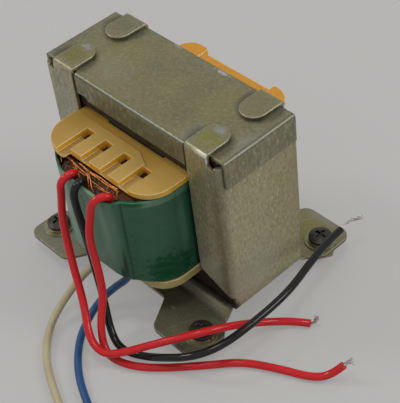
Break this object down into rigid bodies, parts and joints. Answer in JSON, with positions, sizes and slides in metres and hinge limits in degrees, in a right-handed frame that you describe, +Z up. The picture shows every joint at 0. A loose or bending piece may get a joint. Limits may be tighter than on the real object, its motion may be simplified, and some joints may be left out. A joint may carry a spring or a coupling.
{
  "type": "chassis-mount laminated transformer",
  "caption": "Open-frame transformer: laminated core and taped coil on a slotted bobbin, held in a folded steel frame with joggled screw feet, with free wire leads.",
  "frame": {"origin": "centre of the feet's footprint, on the plane that the screws' lower ends stand on", "axes": "+X along the core's length, +Y through the lamination stack away from the leads, +Z up from the feet to the cover"},
  "size_m": [0.1039, 0.1037, 0.0635],
  "materials": {
    "plated_steel": "dull olive-grey plating with faint mottling",
    "core_steel": "varnished dark lamination edges",
    "bobbin_plastic": "satin amber moulding",
    "winding_wire": "enamelled copper under varnish",
    "insulation_wrap": "varnished paper",
    "coil_tape": "semi-gloss polyester tape",
    "black_screw": "black oxide",
    "yellow_zinc": "yellow zinc plating",
    "red_insulation": "smooth wire insulation",
    "black_insulation": "smooth wire insulation",
    "cream_insulation": "smooth wire insulation",
    "blue_insulation": "smooth wire insulation",
    "tinned_wire": "tinned stranded copper"
  },
  "bodies": {
    "root": {"lower_frame": "plated_steel", "upper_cover": "plated_steel", "e_laminations": "core_steel", "i_laminations": "core_steel", "bobbin": "bobbin_plastic", "primary_winding": "winding_wire", "winding_insulation": "insulation_wrap", "secondary_winding": "winding_wire", "outer_tape": "coil_tape", "mounting_screws": "black_screw", "lock_washers": "yellow_zinc", "flat_washers": "yellow_zinc", "nuts": "yellow_zinc", "red_lead_left": "red_insulation", "red_lead_right": "red_insulation", "black_lead": "black_insulation", "cream_lead": "cream_insulation", "blue_lead": "blue_insulation", "red_lead_left_strands": "tinned_wire", "red_lead_right_strands": "tinned_wire", "black_lead_strands": "tinned_wire", "cream_lead_strands": "tinned_wire", "blue_lead_strands": "tinned_wire"}
  },
  "joints": []
}
